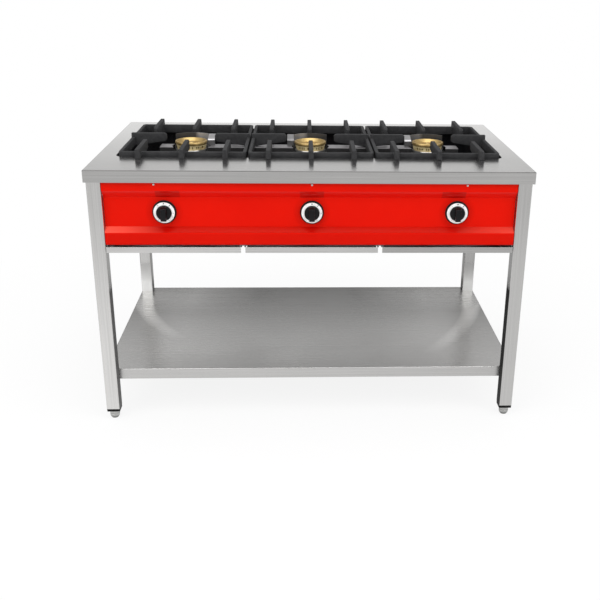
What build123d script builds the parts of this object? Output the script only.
from build123d import *
import math
import os

# Three-burner gas range on an open stand, in millimetres.
# X runs to the right, Y to the back and Z up. The floor is at z = 0, and the origin
# lies under the middle of the whole object. The controls face -Y.

# Stand: feet, end caps, square legs
foot_height = 25.0
foot_radius = 14.0
foot_toe_radius = 10.0
foot_toe_height = 7.0
foot_stud_radius = 5.0
foot_stud_length = 45.0
cap_flange_height = 8.0
cap_flange_width = 37.0
cap_insert_height = 25.0
cap_insert_gap = 0.2
leg_width = 38.0
leg_wall = 1.5
leg_corner = 3.0
leg_length = 703.5
leg_inset_side = 5.0
leg_inset_front = 8.5

# Top plate with its folded fascia, and the strips of plate round the opening for the burners
plate_sheet = 1.5
plate_fascia = 33.0
plate_bend = 2.5
plate_corner = 2.0
plate_hem = 8.0
opening_front_strip = 167.0
opening_back_strip = 108.0
opening_side_strip = 54.0
opening_corner = 30.0
opening_rim = 12.0

# Rails of the upper frame, just under the plate
rail_width = 25.0
rail_height = 30.0
rail_wall = 1.5
rail_inset = 2.0

# Undershelf
shelf_top_height = 147.0
shelf_sheet = 1.5
shelf_lip = 31.0
shelf_bend = 2.5
shelf_front_setback = 40.0
shelf_back_inset = 1.5
shelf_notch_gap = 0.2
stiffener_width = 60.0
stiffener_depth = 25.0
stiffener_sheet = 1.5
stiffener_end_gap = 2.0

# Red control panel, a pressed sheet between the front legs
panel_sheet = 1.5
panel_setback = 9.0
panel_side_gap = 1.0
panel_bend = 2.0
panel_flange = 25.0
panel_top_band = 25.5
panel_upper_slope = 20.0
panel_flat = 82.0
panel_lower_slope = 13.0
panel_bottom_band = 35.0
panel_recess = 15.0
panel_screw_spacing = 418.0
panel_screw_drop = 7.5
screw_head_radius = 3.0
screw_head_height = 2.0
screw_shank_radius = 2.0
screw_length = 8.0
screw_hole_gap = 0.1

# Side and back panels of the casing
casing_sheet = 1.0
casing_inset = 1.0
casing_flange = 20.0
casing_end_gap = 0.2

# Knobs: bezel, dial, skirt and grip, one on each valve
knob_spacing = 396.0
knob_push = 3.5
bezel_radius = 32.5
bezel_thickness = 3.0
dial_radius = 29.7
dial_thickness = 2.5
dial_gap = 4.0
skirt_radius = 20.8
skirt_thickness = 6.0
grip_width = 17.0
grip_length = 39.0
grip_height = 13.5
hub_radius = 7.0
stem_radius = 4.0
stem_seat = 6.5
stem_length = 56.0
rod_radius = 3.0
rod_length = 16.0
running_gap = 0.05
seat_gap = 0.3

# Gas valves and the pipe that feeds them
valve_radius = 15.0
valve_length = 58.5
valve_nose_radius = 10.0
valve_tail_radius = 8.0
valve_tail_length = 14.0
valve_outlet_radius = 6.0
valve_outlet_height = 19.0
valve_outlet_place = 44.5
valve_saddle = 24.0
valve_saddle_drop = 18.0
pipe_radius = 10.65
pipe_wall = 2.6
pipe_place = 26.0
pipe_boss_radius = 9.0
pipe_boss_height = 3.0
pipe_end_margin = 25.0
pipe_bend = 35.0
pipe_leg_gap = 37.0
inlet_reach = 18.0
inlet_thread_radius = 10.48
inlet_thread_length = 16.0
inlet_hole_gap = 1.5
inlet_collar_radius = 17.0
inlet_collar_thickness = 3.0

# Burner box, channel and its two rails under the opening
box_sheet = 1.0
box_gap = 1.0
box_flange = 15.0
box_depth = 98.5
box_notch_width = 44.0
channel_width = 50.0
channel_sheet = 2.0
channel_drop = 12.0
channel_depth = 43.0
channel_reach = 92.0
burner_rail_width = 20.0
burner_rail_height = 20.0
burner_rail_wall = 2.0
burner_rail_overhang = 12.0

# Burners
cup_radius = 57.0
cup_wall = 16.0
cup_floor = 4.0
cup_height = 20.0
cup_top_drop = 25.0
cup_saddle_gap = 0.3
ring_radius = 46.0
ring_bore = 36.0
ring_thickness = 5.5
head_radius = 48.0
head_foot_radius = 42.0
head_foot_height = 2.0
head_skirt_radius = 46.0
head_groove_depth = 1.5
head_groove_height = 2.0
head_rim_height = 7.0
head_height = 24.5
head_rim_width = 5.5
head_dish_depth = 10.0
head_dish_radius = 34.0
head_boss_radius = 9.0
head_boss_height = 5.5
head_wall = 16.0
head_roof = 4.0
head_spigot_depth = 4.0
port_count = 45
port_width = 2.4
port_height = 7.0
port_drop = 12.5
tube_radius = 17.0
tube_wall = 3.0
neck_radius = 20.0
tube_drop = 75.0
tube_mouth = 135.0
bell_length = 15.0
bell_radius = 24.0
holder_ring_radius = 15.0
holder_ring_width = 8.0
holder_ring_place = 108.0
holder_rib_height = 6.0
injector_radius = 9.1
injector_seat_gap = 0.1
injector_length = 22.0
injector_place = 100.0
nozzle_radius = 4.0
nozzle_length = 8.0
nozzle_bore = 1.0
gas_tube_radius = 4.0
gas_tube_wall = 1.0
gas_tube_bend = 15.0

# Pilot burner, thermocouple, pilot hood and wind guard beside and behind each head
pilot_sheet = 1.5
pilot_radius = 4.0
pilot_tip_radius = 6.0
pilot_tip_height = 8.0
pilot_side = 50.0
pilot_back = 45.0
thermocouple_radius = 2.5
thermocouple_side = 66.0
thermocouple_back = 34.0
probe_drop = 2.0
guard_radius = 64.0
guard_half_angle = 52.0
guard_rise = 16.0
hood_front = 5.0
hood_back = 46.0
hood_side_low = 50.0
hood_side_high = 70.0
hood_rise = 5.0
hood_bend = 2.0
bracket_drop = 48.5
bracket_side_low = 44.0
bracket_side_high = 74.0
bracket_tab = 14.0

# Cast-iron grates
grate_width = 355.0
grate_depth = 440.0
grate_gap = 5.0
grate_end_gap = 8.5
grate_bar = 11.0
grate_corner = 12.0
grate_chamfer = 3.0
grate_drop = 12.0
grate_rise = 14.0
finger_spacing = 120.0
finger_width = 12.0
finger_top_width = 10.0
finger_rise = 26.0
finger_nose = 97.0
finger_nose_round = 6.0
finger_nose_sole = 2.0
horn_reach = 32.5
horn_round = 3.0
side_finger_nose = 72.0
side_finger_slope = 8.0

# Drip trays and the runners that carry them
tray_gap_below_panel = 5.7
tray_lip_height = 16.0
tray_lip_gap = 12.0
tray_lip_side_gap = 1.0
tray_lip_overlap = 4.0
tray_sheet = 1.0
tray_depth = 12.5
tray_length = 630.0
tray_corner = 6.0
tray_floor_rise = 1.7
runner_sheet = 1.5
runner_side_gap = 0.3
runner_ledge = 8.0
runner_setback = 3.0
runner_strap = 60.0

# Three grates side by side set the burners' pitch, the opening and the plate
burner_spacing = grate_width + grate_gap
opening_width = 2 * burner_spacing + grate_width + 2 * grate_end_gap
opening_depth = grate_depth + 2 * grate_end_gap
plate_width = opening_width + 2 * opening_side_strip
plate_depth = opening_front_strip + opening_depth + opening_back_strip
burner_back = opening_front_strip + opening_depth / 2
channel_length = 2 * burner_spacing + 2 * channel_reach

# Heights that follow from the sizes above
leg_bottom = foot_height + cap_flange_height
top = leg_bottom + leg_length + plate_sheet
under_plate = top - plate_sheet
rail_bottom = under_plate - rail_height

# Distances behind the plate's front edge that follow from the sizes above
leg_front = leg_inset_front
leg_back = leg_inset_front + leg_width
back_leg_front = plate_depth - leg_inset_front - leg_width
back_leg_back = plate_depth - leg_inset_front
panel_inner = panel_setback + panel_recess
valve_seat = panel_inner + panel_sheet
knob_front = panel_inner - bezel_thickness - dial_gap - dial_thickness - skirt_thickness - grip_height
back_panel_outer = back_leg_back - casing_inset
back_panel_inner = back_panel_outer - casing_sheet
inlet_end = back_panel_outer + inlet_reach

# The plate's front edge, in the part's frame: the object's middle is at y = 0
front = -(inlet_end + knob_front) / 2

# Places across the object
leg_outer_x = plate_width / 2 - leg_inset_side
leg_inner_x = leg_outer_x - leg_width
leg_x = (leg_outer_x + leg_inner_x) / 2
panel_half = leg_inner_x - panel_side_gap
knob_places = [-knob_spacing, 0.0, knob_spacing]
burner_places = [-burner_spacing, 0.0, burner_spacing]
burner_y = front + burner_back
pilot_sides = [1, -1, -1]

# Heights on the control panel
panel_top = rail_bottom
recess_top = panel_top - panel_top_band - panel_upper_slope
recess_bottom = recess_top - panel_flat
panel_bottom = recess_bottom - panel_lower_slope - panel_bottom_band
knob_z = (recess_top + recess_bottom) / 2


def block(x_low, x_high, y_low, y_high, z_low, z_high):
    middle = Pos((x_low + x_high) / 2, (y_low + y_high) / 2, (z_low + z_high) / 2)
    return middle * Box(x_high - x_low, y_high - y_low, z_high - z_low)


def rounded_block(x_low, x_high, y_low, y_high, z_low, z_high, corner):
    outline = RectangleRounded(x_high - x_low, y_high - y_low, corner)
    placed = Pos((x_low + x_high) / 2, (y_low + y_high) / 2, z_low) * outline
    return extrude(placed, z_high - z_low)


def upright_rod(x, y, z_low, z_high, radius):
    return Pos(x, y, (z_low + z_high) / 2) * Cylinder(radius, z_high - z_low)


def level_rod(x, y_low, y_high, z, radius):
    # A cylinder that lies along Y
    return Pos(x, (y_low + y_high) / 2, z) * Rot(90, 0, 0) * Cylinder(radius, y_high - y_low)


def square_tube(x_low, x_high, y_low, y_high, z_low, z_high, wall, corner):
    outer = rounded_block(x_low, x_high, y_low, y_high, z_low, z_high, corner)
    inner = rounded_block(x_low + wall, x_high - wall, y_low + wall, y_high - wall,
                          z_low, z_high, corner - wall)
    return outer - inner


def folded_sheet(points, bend, sheet, x_low, x_high):
    # A sheet of even thickness that follows points (y, z) along its middle, drawn out along X
    strip = trace(FilletPolyline(*points, radius=bend), sheet)
    return Plane.YZ.offset(x_low) * extrude(strip, amount=x_high - x_low)


def spun(points):
    # A closed outline of (radius, height) points turned about Z
    return revolve(Plane.XZ * make_face(Polyline(*points, close=True)), Axis.Z, 360)


def make_top_plate():
    half = plate_width / 2
    back = front + plate_depth
    body = block(-half, half, front, back, top - plate_fascia, top)
    body = fillet(body.edges().filter_by(Axis.Z), plate_corner)
    body = fillet(body.faces().sort_by(Axis.Z)[-1].edges(), plate_bend)
    hollow = block(-half + plate_sheet, half - plate_sheet, front + plate_sheet, back - plate_sheet,
                   top - plate_fascia, under_plate)
    hem_width = 2 * plate_sheet
    hem_space = block(-half + hem_width, half - hem_width, front + hem_width, back - hem_width,
                      top - plate_fascia, top - plate_fascia + plate_hem)
    above_hem = block(-half + plate_sheet, half - plate_sheet, front + plate_sheet, back - plate_sheet,
                      top - plate_fascia + plate_hem, under_plate)
    body = body - (hollow & hem_space) - above_hem
    body = body + opening_prism(plate_sheet, top - opening_rim, top - plate_sheet / 2)
    body = body - opening_prism(0, top - plate_fascia, top + plate_sheet)
    rim_edges = body.faces().sort_by(Axis.Z)[-1].inner_wires()[0].edges()
    return fillet(rim_edges, plate_sheet * 0.8)


def opening_prism(growth, z_low, z_high):
    # The opening's outline, grown on all sides
    half = opening_width / 2 + growth
    y_low = front + opening_front_strip - growth
    y_high = front + opening_front_strip + opening_depth + growth
    return rounded_block(-half, half, y_low, y_high, z_low, z_high, opening_corner + growth)


def make_leg(side, is_front):
    x_low = side * leg_x - leg_width / 2
    y_low = front + (leg_front if is_front else back_leg_front)
    return square_tube(x_low, x_low + leg_width, y_low, y_low + leg_width,
                       leg_bottom, under_plate, leg_wall, leg_corner)


def leg_axis_y(is_front):
    return front + (leg_front if is_front else back_leg_front) + leg_width / 2


def make_leg_cap(side, is_front):
    x = side * leg_x
    y = leg_axis_y(is_front)
    half = cap_flange_width / 2
    flange = rounded_block(x - half, x + half, y - half, y + half, foot_height, leg_bottom, leg_corner)
    insert_half = leg_width / 2 - leg_wall - cap_insert_gap
    insert = rounded_block(x - insert_half, x + insert_half, y - insert_half, y + insert_half,
                           leg_bottom, leg_bottom + cap_insert_height, leg_corner - leg_wall)
    bore = upright_rod(x, y, foot_height, leg_bottom + cap_insert_height, foot_stud_radius + running_gap)
    return flange + insert - bore


def make_foot(side, is_front):
    profile = [(0, 0), (foot_toe_radius, 0), (foot_radius, foot_toe_height),
               (foot_radius, foot_height), (foot_stud_radius, foot_height),
               (foot_stud_radius, foot_height + foot_stud_length), (0, foot_height + foot_stud_length)]
    return Pos(side * leg_x, leg_axis_y(is_front), 0) * spun(profile)


def make_upper_rails():
    side_low = leg_outer_x - casing_inset - rail_width
    side_high = leg_outer_x - casing_inset
    front_low = front + leg_front + rail_inset
    back_high = front + back_leg_back - rail_inset
    spans = [(-leg_inner_x, leg_inner_x, front_low, front_low + rail_width),
             (-leg_inner_x, leg_inner_x, back_high - rail_width, back_high),
             (-side_high, -side_low, front + leg_back, front + back_leg_front),
             (side_low, side_high, front + leg_back, front + back_leg_front)]
    rails = []
    for x_low, x_high, y_low, y_high in spans:
        outer = block(x_low, x_high, y_low, y_high, rail_bottom, under_plate)
        if x_high - x_low > y_high - y_low:
            inner = block(x_low, x_high, y_low + rail_wall, y_high - rail_wall,
                          rail_bottom + rail_wall, under_plate - rail_wall)
        else:
            inner = block(x_low + rail_wall, x_high - rail_wall, y_low, y_high,
                          rail_bottom + rail_wall, under_plate - rail_wall)
        rails.append(outer - inner)
    return Compound(children=rails)


def shelf_prism(inset, z_low, z_high):
    # The shelf's outline with its corner notches, drawn in by inset
    half = leg_outer_x - inset
    y_low = front + shelf_front_setback + inset
    y_high = front + back_leg_back - shelf_back_inset - inset
    notch_x = leg_inner_x - shelf_notch_gap - inset
    front_notch = front + leg_back + shelf_notch_gap + inset
    back_notch = front + back_leg_front - shelf_notch_gap - inset
    body = block(-half, half, front_notch, back_notch, z_low, z_high)
    return body + block(-notch_x, notch_x, y_low, y_high, z_low, z_high)


def make_undershelf():
    low = shelf_top_height - shelf_lip
    body = shelf_prism(0, low, shelf_top_height)
    body = fillet(body.faces().sort_by(Axis.Z)[-1].edges(), shelf_bend)
    return body - shelf_prism(shelf_sheet, low, shelf_top_height - shelf_sheet)


def make_shelf_stiffener():
    # A hat section under the middle of the shelf
    high = shelf_top_height - shelf_sheet
    low = high - stiffener_depth
    middle = front + (shelf_front_setback + back_leg_back) / 2
    half = stiffener_width / 2
    reach = leg_inner_x - stiffener_end_gap
    outer = block(-reach, reach, middle - half, middle + half, low, high)
    inner = block(-reach, reach, middle - half + stiffener_sheet, middle + half - stiffener_sheet,
                  low + stiffener_sheet, high)
    return outer - inner


def make_control_panel():
    skin = panel_sheet / 2
    face = front + panel_setback + skin
    inner = front + panel_inner + skin
    band_bottom = panel_top - panel_top_band
    low_band_top = recess_bottom - panel_lower_slope
    points = [(front + panel_setback + panel_flange, panel_top - skin),
              (face, panel_top - skin),
              (face, band_bottom),
              (inner, recess_top),
              (inner, recess_bottom),
              (face, low_band_top),
              (face, panel_bottom + skin),
              (front + panel_setback + panel_flange, panel_bottom + skin)]
    panel = folded_sheet(points, panel_bend, panel_sheet, -panel_half, panel_half)
    for x in knob_places:
        panel = panel - level_rod(x, front + panel_inner - 1, front + valve_seat + 1, knob_z,
                                  valve_nose_radius + seat_gap)
    for x in screw_places():
        panel = panel - level_rod(x, front + panel_setback - 1, front + panel_setback + panel_sheet + 1,
                                  screw_z(), screw_shank_radius + screw_hole_gap)
    return panel


def screw_places():
    return [-panel_screw_spacing, 0.0, panel_screw_spacing]


def screw_z():
    return panel_top - panel_screw_drop


def make_panel_screws():
    screws = []
    for x in screw_places():
        seat = front + panel_setback
        head = level_rod(x, seat - screw_head_height, seat, screw_z(), screw_head_radius)
        head = fillet(head.edges().sort_by(Axis.Y)[0], screw_head_height * 0.6)
        shank = level_rod(x, seat, seat + screw_length, screw_z(), screw_shank_radius)
        screws.append(head + shank)
    return Compound(children=screws)


def casing_bottom():
    # The side and back panels reach down past the trays, and the runners rest on the back flange
    return tray_floor() - runner_sheet - casing_sheet


def make_side_panel(side):
    outer = leg_outer_x - casing_inset
    y_low = front + leg_back + casing_end_gap
    y_high = front + back_leg_front - casing_end_gap
    wall = block(outer - casing_sheet, outer, y_low, y_high, casing_bottom(), rail_bottom)
    for z_low in (casing_bottom(), rail_bottom - casing_sheet):
        wall = wall + block(outer - casing_flange, outer, y_low, y_high, z_low, z_low + casing_sheet)
    return wall if side > 0 else mirror(wall, Plane.YZ)


def make_back_panel():
    y_high = front + back_panel_outer
    wall = block(-panel_half, panel_half, y_high - casing_sheet, y_high, casing_bottom(), rail_bottom)
    for z_low in (casing_bottom(), rail_bottom - casing_sheet):
        wall = wall + block(-panel_half, panel_half, y_high - casing_flange, y_high,
                            z_low, z_low + casing_sheet)
    return wall - level_rod(inlet_x(), y_high - casing_flange, y_high + 1, pipe_z(),
                            pipe_radius + inlet_hole_gap)


def make_bezel(x):
    seat = front + panel_inner
    disc = level_rod(x, seat - bezel_thickness, seat, knob_z, bezel_radius)
    disc = chamfer(disc.edges().sort_by(Axis.Y)[0], bezel_thickness / 3)
    return disc - level_rod(x, seat - bezel_thickness, seat, knob_z, valve_nose_radius + seat_gap)


def dial_back():
    return front + panel_inner - bezel_thickness - dial_gap


def make_dial(x):
    disc = level_rod(x, dial_back() - dial_thickness, dial_back(), knob_z, dial_radius)
    disc = fillet(disc.edges().sort_by(Axis.Y)[0], dial_thickness / 3)
    return disc - level_rod(x, dial_back() - dial_thickness, dial_back(), knob_z, hub_radius + running_gap)


def make_knob(x):
    skirt_back = dial_back() - dial_thickness
    skirt_front = skirt_back - skirt_thickness
    skirt = level_rod(x, skirt_front, skirt_back, knob_z, skirt_radius)
    skirt = fillet(skirt.edges().sort_by(Axis.Y)[0], skirt_thickness / 3)
    hub = level_rod(x, skirt_back, dial_back(), knob_z, hub_radius)
    grip_outline = RectangleRounded(grip_width, grip_length, grip_width * 0.3)
    grip = extrude(Pos(x, skirt_front, knob_z) * Rot(90, 0, 0) * grip_outline, grip_height)
    grip = fillet(grip.faces().sort_by(Axis.Y)[0].edges(), grip_width * 0.12)
    bore = level_rod(x, stem_front(), dial_back(), knob_z, stem_radius + running_gap)
    return skirt + hub + grip - bore


def stem_front():
    return dial_back() - dial_thickness - skirt_thickness - stem_seat


def make_valve_stem(x):
    return level_rod(x, stem_front(), stem_front() + stem_length, knob_z, stem_radius)


def make_push_rod(x):
    rod_front = stem_front() + stem_length
    return level_rod(x, rod_front, rod_front + rod_length, knob_z, rod_radius)


def make_valve(x):
    seat = front + valve_seat
    body = level_rod(x, seat, seat + valve_length, knob_z, valve_radius)
    nose_front = front + panel_inner - bezel_thickness
    body = body + level_rod(x, nose_front, seat, knob_z, valve_nose_radius)
    tail_back = seat + valve_length + valve_tail_length
    body = body + level_rod(x, seat + valve_length, tail_back, knob_z, valve_tail_radius)
    outlet_y = seat + valve_outlet_place
    body = body + upright_rod(x, outlet_y, knob_z, knob_z + valve_outlet_height, valve_outlet_radius)
    saddle_y = seat + pipe_place
    half = valve_saddle / 2
    body = body + block(x - half, x + half, saddle_y - half, saddle_y + half,
                        knob_z - valve_saddle_drop, knob_z)
    stem_end = stem_front() + stem_length
    stem_bore_end = stem_end + knob_push + dial_gap / 4
    rod_bore_end = stem_end + rod_length + knob_push + dial_gap / 4
    body = body - level_rod(x, nose_front, stem_bore_end, knob_z, stem_radius + running_gap)
    return body - level_rod(x, stem_bore_end, rod_bore_end, knob_z, rod_radius + running_gap)


def pipe_z():
    return knob_z - valve_saddle_drop - pipe_boss_height - pipe_radius


def pipe_y():
    return front + valve_seat + pipe_place


def inlet_x():
    return leg_inner_x - pipe_leg_gap


def make_manifold():
    start = -knob_spacing - pipe_end_margin
    thread_start = front + inlet_end - inlet_thread_length
    route = FilletPolyline((start, pipe_y(), pipe_z()), (inlet_x(), pipe_y(), pipe_z()),
                           (inlet_x(), thread_start, pipe_z()), radius=pipe_bend)
    section_plane = Plane(origin=(start, pipe_y(), pipe_z()), z_dir=(1, 0, 0))
    pipe = sweep(section_plane * Circle(pipe_radius), path=route)
    bore_radius = pipe_radius - pipe_wall
    for x in knob_places:
        pipe = pipe + upright_rod(x, pipe_y(), pipe_z(), knob_z - valve_saddle_drop, pipe_boss_radius)
    collar_back = front + back_panel_inner
    pipe = pipe + level_rod(inlet_x(), collar_back - inlet_collar_thickness, collar_back, pipe_z(),
                            inlet_collar_radius)
    pipe = pipe + level_rod(inlet_x(), thread_start, front + inlet_end, pipe_z(), inlet_thread_radius)
    bore_route = FilletPolyline((start + pipe_wall, pipe_y(), pipe_z()), (inlet_x(), pipe_y(), pipe_z()),
                                (inlet_x(), front + inlet_end, pipe_z()), radius=pipe_bend)
    bore_plane = Plane(origin=(start + pipe_wall, pipe_y(), pipe_z()), z_dir=(1, 0, 0))
    return pipe - sweep(bore_plane * Circle(bore_radius), path=bore_route)


def make_burner_box():
    inner_growth = plate_sheet + box_gap
    outer_growth = inner_growth + box_sheet
    low = under_plate - box_depth
    body = opening_prism(outer_growth + box_flange, under_plate - box_sheet, under_plate)
    body = body + opening_prism(outer_growth, low, under_plate)
    body = body - opening_prism(inner_growth, low - 1, under_plate + 1)
    wall_y = front + opening_front_strip - outer_growth
    half = box_notch_width / 2
    tube_z = top - tube_drop
    for x in burner_places:
        slot = block(x - half, x + half, wall_y - 1, wall_y + box_sheet + 1, low - 1, tube_z)
        slot = slot + level_rod(x, wall_y - 1, wall_y + box_sheet + 1, tube_z, half)
        body = body - slot
    return body


def channel_top():
    return top - channel_drop


def make_burner_channel():
    # A channel open at the bottom, with a round saddle cut for each burner cup
    y_low = burner_y - channel_width / 2
    y_high = burner_y + channel_width / 2
    low = channel_top() - channel_depth
    reach = channel_length / 2
    body = block(-reach, reach, y_low, y_high, low, channel_top())
    body = fillet(body.edges().filter_by(Axis.X).group_by(Axis.Z)[-1], channel_sheet)
    body = body - block(-reach, reach, y_low + channel_sheet, y_high - channel_sheet,
                        low, channel_top() - channel_sheet)
    for x in burner_places:
        body = body - upright_rod(x, burner_y, cup_bottom(), channel_top() + 1,
                                  cup_radius + cup_saddle_gap)
    return body


def cup_bottom():
    return top - cup_top_drop - cup_height


def make_burner_rails():
    high = channel_top() - channel_depth
    low = high - burner_rail_height
    wall_growth = plate_sheet + box_gap
    y_low = front + opening_front_strip - wall_growth
    y_high = front + opening_front_strip + opening_depth + wall_growth
    rails = []
    for side in (-1, 1):
        x = side * (channel_length / 2 - burner_rail_overhang)
        half = burner_rail_width / 2
        outer = block(x - half, x + half, y_low, y_high, low, high)
        inner = block(x - half + burner_rail_wall, x + half - burner_rail_wall, y_low, y_high,
                      low + burner_rail_wall, high - burner_rail_wall)
        rails.append(outer - inner)
    return Compound(children=rails)


def make_burner_body(x):
    # Cup, neck and mixing tube in one casting, with a ring for the injector in front of the bell mouth
    tube_z = top - tube_drop
    bore = tube_radius - tube_wall
    cup = upright_rod(x, burner_y, cup_bottom(), cup_bottom() + cup_height, cup_radius)
    cup = chamfer(cup.edges().sort_by(Axis.Z)[-1], cup_floor / 4)
    cup = cup - upright_rod(x, burner_y, cup_bottom() + cup_floor, cup_bottom() + cup_height,
                            cup_radius - cup_wall)
    body = cup + upright_rod(x, burner_y, tube_z - neck_radius, cup_bottom() + cup_floor, neck_radius)
    mouth = front + tube_mouth
    bell_back = mouth + bell_length
    body = body + level_rod(x, bell_back, burner_y, tube_z, tube_radius)
    bell_place = Pos(x, (mouth + bell_back) / 2, tube_z) * Rot(90, 0, 0)
    body = body + bell_place * Cone(tube_radius, bell_radius, bell_length)
    ring_front = front + holder_ring_place
    body = body + level_rod(x, ring_front, ring_front + holder_ring_width, tube_z, holder_ring_radius)
    rib_inner = injector_radius + injector_seat_gap
    rib_half = holder_rib_height / 2
    for side in (-1, 1):
        low, high = sorted((x + side * rib_inner, x + side * (bell_radius - tube_wall / 3)))
        body = body + block(low, high, ring_front, mouth + tube_wall / 3,
                            tube_z - rib_half, tube_z + rib_half)
    body = body - bell_place * Cone(bore, bell_radius - tube_wall, bell_length)
    body = body - level_rod(x, bell_back, burner_y, tube_z, bore)
    body = body - upright_rod(x, burner_y, tube_z, cup_bottom() + cup_floor, neck_radius - tube_wall)
    return body - level_rod(x, ring_front - 1, ring_front + holder_ring_width + 1, tube_z,
                            injector_radius + injector_seat_gap)


def make_burner_ring(x):
    low = top - cup_top_drop
    ring = upright_rod(x, burner_y, low, low + ring_thickness, ring_radius)
    ring = fillet(ring.edges().group_by(Axis.Z)[-1], ring_thickness / 4)
    return ring - upright_rod(x, burner_y, low, low + ring_thickness, ring_bore)


def make_burner_head(x):
    seat = top - cup_top_drop + ring_thickness
    high = seat + head_height
    foot = seat + head_foot_height
    rim_low = high - head_rim_height
    groove_low = rim_low - head_groove_height
    groove_radius = head_skirt_radius - head_groove_depth
    dish = high - head_dish_depth
    roof = dish - head_roof
    spigot_outer = ring_bore - seat_gap
    inner = head_radius - head_wall
    profile = [(head_foot_radius, seat), (head_foot_radius, foot), (head_skirt_radius, groove_low),
               (groove_radius, groove_low), (groove_radius, rim_low), (head_radius, rim_low),
               (head_radius, high - head_rim_width / 2), (head_radius - head_rim_width / 2, high),
               (head_radius - head_rim_width, high), (head_dish_radius, dish),
               (head_boss_radius + 1, dish), (head_boss_radius, dish + head_boss_height),
               (0, dish + head_boss_height), (0, roof), (inner, roof),
               (inner, seat - head_spigot_depth), (spigot_outer, seat - head_spigot_depth),
               (spigot_outer, seat)]
    head = spun(profile)
    port_z = top - port_drop
    port_span = head_wall + 2
    for number in range(port_count):
        place = Rot(0, 0, number * 360 / port_count) * Pos(head_radius + 1 - port_span / 2, 0, port_z)
        head = head - place * Box(port_span, port_width, port_height)
    return Pos(x, burner_y, 0) * head


def make_injector(x):
    tube_z = top - tube_drop
    start = front + injector_place
    body = level_rod(x, start, start + injector_length, tube_z, injector_radius)
    tip = start + injector_length + nozzle_length
    body = body + level_rod(x, start + injector_length, tip, tube_z, nozzle_radius)
    return body - level_rod(x, start, tip, tube_z, nozzle_bore)


def make_gas_tube(x):
    tube_z = top - tube_drop
    outlet_y = front + valve_seat + valve_outlet_place
    outlet_z = knob_z + valve_outlet_height
    route = FilletPolyline((x, outlet_y, outlet_z), (x, outlet_y, tube_z),
                           (x, front + injector_place, tube_z), radius=gas_tube_bend)
    section = Plane(origin=(x, outlet_y, outlet_z), z_dir=(0, 0, 1))
    outer = sweep(section * Circle(gas_tube_radius), path=route)
    return outer - sweep(section * Circle(gas_tube_radius - gas_tube_wall), path=route)


def make_pilot(x, side):
    # Bracket on the channel's back flange, with pilot tube, thermocouple and wind guard
    flange_y = burner_y + channel_width / 2
    plate_z = top - bracket_drop
    reach = guard_radius + pilot_sheet
    tab_low = plate_z - pilot_sheet
    tab = block(bracket_side_low, bracket_side_high, flange_y, flange_y + pilot_sheet,
                tab_low, tab_low + bracket_tab)
    tab = tab - upright_rod(0, burner_y, cup_bottom() - 1, top, cup_radius + seat_gap)
    floor = block(-bracket_side_low, bracket_side_high, flange_y, burner_y + reach,
                  tab_low, plate_z)
    floor = floor - upright_rod(0, burner_y, tab_low - 1, plate_z + 1, tube_radius + 1)
    ring = upright_rod(0, burner_y, tab_low, top + guard_rise, guard_radius + pilot_sheet)
    ring = ring - upright_rod(0, burner_y, tab_low, top + guard_rise, guard_radius)
    spread = math.tan(math.radians(guard_half_angle)) * 2 * guard_radius
    wedge = Polygon((0, 0), (spread, 2 * guard_radius), (-spread, 2 * guard_radius), align=None)
    guard = ring & extrude(Pos(0, burner_y, tab_low) * wedge, top + guard_rise - tab_low)
    tip_high = top - probe_drop
    tip_low = tip_high - pilot_tip_height
    pilot = upright_rod(pilot_side, burner_y + pilot_back, tab_low, tip_low, pilot_radius)
    pilot = pilot + upright_rod(pilot_side, burner_y + pilot_back, tip_low, tip_high, pilot_tip_radius)
    probe = upright_rod(thermocouple_side, burner_y + thermocouple_back, tab_low, top, thermocouple_radius)
    whole = tab + floor + guard + pilot + probe + make_pilot_hood()
    if side < 0:
        whole = mirror(whole, Plane.YZ)
    return Pos(x, 0, 0) * whole


def make_pilot_hood():
    # A bent sheet that stands on the channel and slopes up to the end of the wind guard
    skin = pilot_sheet / 2
    y_front = burner_y + hood_front + skin
    route = [(y_front, channel_top()), (y_front, top + hood_rise),
             (burner_y + hood_back, top + guard_rise - skin)]
    return folded_sheet(route, hood_bend, pilot_sheet, hood_side_low, hood_side_high)


def make_web(points):
    # A cast web in the plane x = 0 along +Y: the side view cut out of a bar with drafted sides
    reach = max(distance for distance, height in points) + 1
    low = min(height for distance, height in points)
    half = finger_width / 2
    top_half = finger_top_width / 2
    section = Polygon((-half, low), (half, low), (top_half, finger_rise), (-top_half, finger_rise),
                      align=None)
    bar = Plane.XZ * extrude(section, amount=-reach)
    side_view = extrude(Polygon(*points, align=None), amount=2 * finger_width)
    return bar & (Plane.YZ.offset(-finger_width) * side_view)


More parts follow.
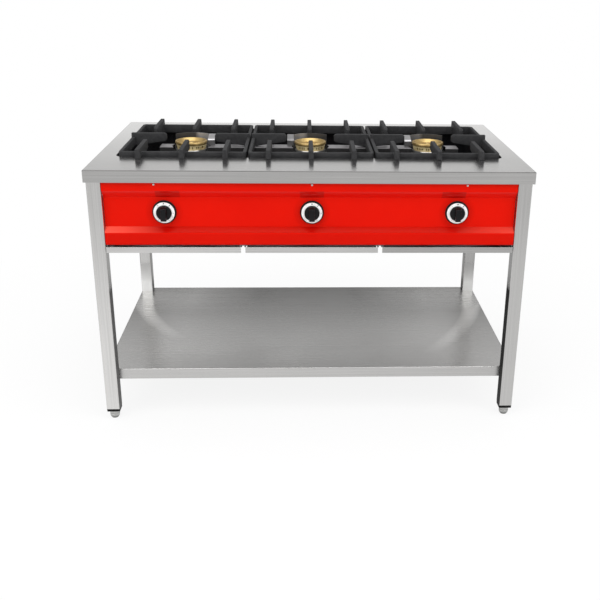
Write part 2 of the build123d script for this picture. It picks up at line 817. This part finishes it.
def make_grate(x):
    half_x = grate_width / 2
    half_y = grate_depth / 2
    frame = rounded_block(-half_x, half_x, -half_y, half_y, -grate_drop, grate_rise, grate_corner)
    frame = chamfer(frame.faces().sort_by(Axis.Z)[-1].edges(), grate_chamfer)
    frame = frame - rounded_block(-half_x + grate_bar, half_x - grate_bar, -half_y + grate_bar,
                                  half_y - grate_bar, -grate_drop, grate_rise, 1)
    rail_inner = half_y - grate_bar
    horn_end = half_y + horn_reach
    long_web = [(rail_inner, -grate_drop), (half_y, -grate_drop), (half_y, 0), (horn_end, 0),
                (horn_end, finger_rise - horn_round), (horn_end - horn_round, finger_rise),
                (finger_nose + finger_nose_round, finger_rise),
                (finger_nose + finger_nose_round / 4, finger_rise - finger_nose_round / 3),
                (finger_nose, finger_rise - finger_nose_round),
                (finger_nose, finger_nose_sole + finger_nose_round),
                (finger_nose + finger_nose_round, finger_nose_sole)]
    side_inner = half_x - grate_bar
    side_web = [(side_inner, -grate_drop), (half_x, -grate_drop), (half_x, finger_rise - horn_round),
                (half_x - horn_round, finger_rise),
                (side_finger_nose + side_finger_slope, finger_rise),
                (side_finger_nose, finger_rise - 2 * side_finger_slope),
                (side_finger_nose, finger_nose_sole),
                (side_finger_nose + side_finger_slope, 0)]
    finger = make_web(long_web)
    for place in (-finger_spacing, 0, finger_spacing):
        frame = frame + Pos(place, 0, 0) * finger
        frame = frame + Pos(place, 0, 0) * Rot(0, 0, 180) * finger
    side_finger = make_web(side_web)
    frame = frame + Rot(0, 0, 90) * side_finger
    frame = frame + Rot(0, 0, -90) * side_finger
    return Pos(x, burner_y, top) * frame


def tray_lip_width():
    lip_room = 2 * (leg_inner_x - tray_lip_side_gap) - 2 * tray_lip_gap
    return lip_room / 3


def tray_pitch():
    return tray_lip_width() + tray_lip_gap


def tray_half():
    return tray_lip_width() / 2 - tray_lip_overlap


def lip_top():
    return panel_bottom - tray_gap_below_panel


def tray_floor():
    return lip_top() - tray_lip_height + tray_floor_rise


def make_drip_tray(place):
    x = place * tray_pitch()
    y_low = front + panel_setback
    y_high = y_low + tray_length
    high = tray_floor() + tray_depth
    half = tray_half()
    pan = rounded_block(x - half, x + half, y_low, y_high, tray_floor(), high, tray_corner)
    pan = pan - rounded_block(x - half + tray_sheet, x + half - tray_sheet,
                              y_low + tray_sheet, y_high - tray_sheet,
                              tray_floor() + tray_sheet, high, tray_corner - tray_sheet)
    lip_half = tray_lip_width() / 2
    lip = block(x - lip_half, x + lip_half, y_low, y_low + tray_sheet,
                lip_top() - tray_lip_height, lip_top())
    return pan + lip


def runner_span():
    y_low = front + panel_setback + tray_sheet + runner_setback
    y_high = front + back_panel_outer - casing_sheet
    return y_low, y_high


def between_trays():
    return tray_pitch() - 2 * tray_half()


def side_runner_edge():
    # The inner face of the strip that guides an outer tray on its outer side
    return tray_pitch() + tray_half() + runner_side_gap


def make_middle_runner(side):
    # An upside-down channel that guides the trays on either side of it
    x = side * tray_pitch() / 2
    y_front, y_high = runner_span()
    y_low = y_front + runner_strap
    half = between_trays() / 2 - runner_side_gap
    channel = block(x - half, x + half, y_low, y_high, tray_floor(), panel_bottom)
    return channel - block(x - half + runner_sheet, x + half - runner_sheet, y_low, y_high,
                           tray_floor(), panel_bottom - runner_sheet)


def make_runner_strap(side):
    # A flat strap from the channel's front end to the panel's flange, above the trays' lips
    x = side * tray_pitch() / 2
    y_low = runner_span()[0]
    half = between_trays() / 2 - runner_side_gap
    return block(x - half, x + half, y_low, y_low + runner_strap, panel_bottom - runner_sheet, panel_bottom)


def make_middle_ledge(side):
    # A flat bar welded under the channel: the trays rest on its edges
    x = side * tray_pitch() / 2
    y_front, y_high = runner_span()
    half = between_trays() / 2 + runner_ledge
    return block(x - half, x + half, y_front + runner_strap, y_high, tray_floor() - runner_sheet, tray_floor())


def make_side_runner(side):
    y_low, y_high = runner_span()
    edge = side_runner_edge()
    runner = block(edge, edge + runner_sheet, y_low, y_high, tray_floor(), panel_bottom)
    return runner if side > 0 else mirror(runner, Plane.YZ)


def make_side_ledge(side):
    y_low, y_high = runner_span()
    edge = side_runner_edge()
    ledge = block(edge - runner_side_gap - runner_ledge, edge + runner_sheet, y_low, y_high,
                  tray_floor() - runner_sheet, tray_floor())
    return ledge if side > 0 else mirror(ledge, Plane.YZ)


parts = {
    "top_plate": make_top_plate(),
    "upper_frame_rails": make_upper_rails(),
    "undershelf": make_undershelf(),
    "shelf_stiffener": make_shelf_stiffener(),
    "control_panel": make_control_panel(),
    "panel_screws": make_panel_screws(),
    "side_panel_left": make_side_panel(-1),
    "side_panel_right": make_side_panel(1),
    "back_panel": make_back_panel(),
    "burner_box": make_burner_box(),
    "burner_channel": make_burner_channel(),
    "burner_rails": make_burner_rails(),
    "gas_manifold": make_manifold(),
    "knob_bezels": Compound(children=[make_bezel(x) for x in knob_places]),
    "injectors": Compound(children=[make_injector(x) for x in burner_places]),
    "gas_tubes": Compound(children=[make_gas_tube(x) for x in burner_places]),
    "tray_runners": Compound(children=[make_middle_runner(-1), make_middle_runner(1),
                                       make_runner_strap(-1), make_runner_strap(1),
                                       make_side_runner(-1), make_side_runner(1)]),
    "tray_ledges": Compound(children=[make_middle_ledge(-1), make_middle_ledge(1),
                                      make_side_ledge(-1), make_side_ledge(1)]),
}

caps = []
for depth_word, is_front in (("front", True), ("back", False)):
    for side_word, side in (("left", -1), ("right", 1)):
        parts[f"leg_{depth_word}_{side_word}"] = make_leg(side, is_front)
        parts[f"foot_{depth_word}_{side_word}"] = make_foot(side, is_front)
        caps.append(make_leg_cap(side, is_front))
parts["leg_end_caps"] = Compound(children=caps)

for number, place in enumerate((-1, 0, 1), start=1):
    knob_x = knob_places[number - 1]
    burner_x = burner_places[number - 1]
    parts[f"knob_{number}"] = make_knob(knob_x)
    parts[f"knob_dial_{number}"] = make_dial(knob_x)
    parts[f"valve_stem_{number}"] = make_valve_stem(knob_x)
    parts[f"push_rod_{number}"] = make_push_rod(knob_x)
    parts[f"gas_valve_{number}"] = make_valve(knob_x)
    parts[f"burner_body_{number}"] = make_burner_body(burner_x)
    parts[f"burner_ring_{number}"] = make_burner_ring(burner_x)
    parts[f"burner_head_{number}"] = make_burner_head(burner_x)
    parts[f"pilot_{number}"] = make_pilot(burner_x, pilot_sides[number - 1])
    parts[f"pan_grate_{number}"] = make_grate(burner_x)
    parts[f"drip_tray_{number}"] = make_drip_tray(place)

os.makedirs("parts", exist_ok=True)
for name, shape in parts.items():
    export_step(shape, f"parts/{name}.step")
    print(name, "volume", round(shape.volume / 1000, 1), "cm3")
